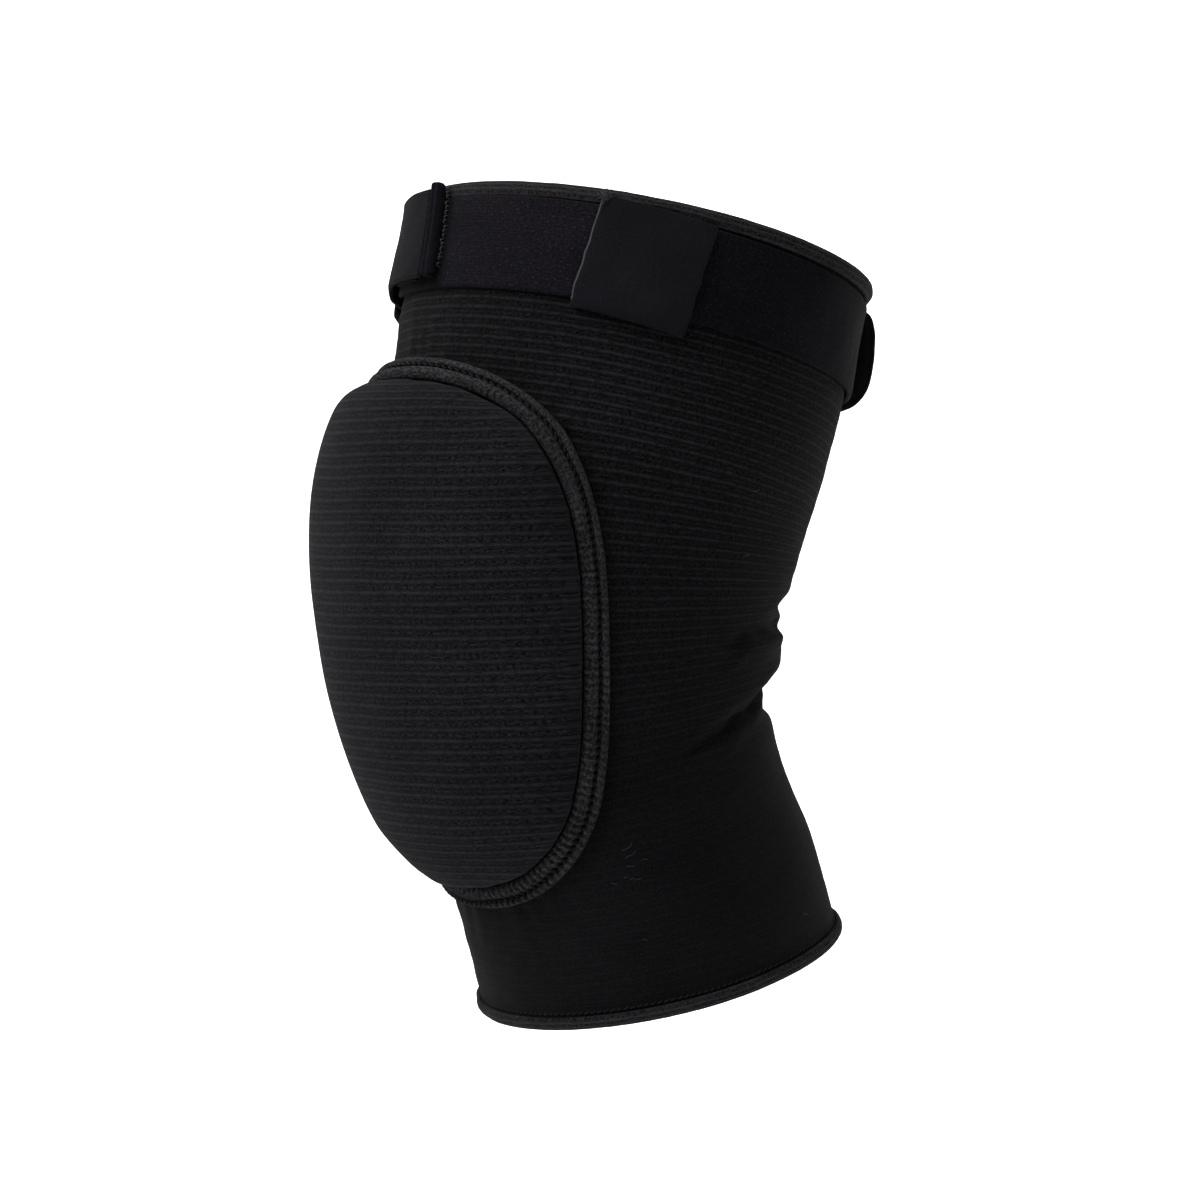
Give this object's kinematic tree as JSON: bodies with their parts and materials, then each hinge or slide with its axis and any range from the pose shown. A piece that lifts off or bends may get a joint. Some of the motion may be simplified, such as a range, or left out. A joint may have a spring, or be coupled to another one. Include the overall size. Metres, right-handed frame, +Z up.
{
  "type": "knee pad",
  "caption": "Pull-on knee pad: a ribbed knitted sleeve bent at the knee, an oval padded cup in front framed by a stitched welt, and a fastened strap round the thigh.",
  "frame": {"origin": "middle of the knee, on the centre line of the leg that the sleeve goes round", "axes": "+Z up the leg, -Y out of the front of the knee, +X to the side that the strap's outer end points to"},
  "size_m": [0.153, 0.1988, 0.2741],
  "materials": {
    "ribbed_knit": "matte ribbed elastic knit, near black",
    "cup_knit": "matte ribbed knit over foam, near black",
    "hem_knit": "folded knit edge, dark grey",
    "strap_elastic": "smooth woven elastic with a slight satin sheen, near black",
    "hook_tape": "hook fastener tape, black",
    "loop_cloth": "matte napped loop fabric, near black"
  },
  "bodies": {
    "root": {"sleeve": "ribbed_knit", "thigh_hem": "hem_knit", "shin_hem": "hem_knit", "knee_cup": "cup_knit", "cup_seam": "cup_knit", "strap": "strap_elastic", "strap_end_fold": "strap_elastic", "hook_patch": "hook_tape", "keeper_near": "loop_cloth", "keeper_far": "loop_cloth", "keeper_back": "loop_cloth"}
  },
  "joints": []
}
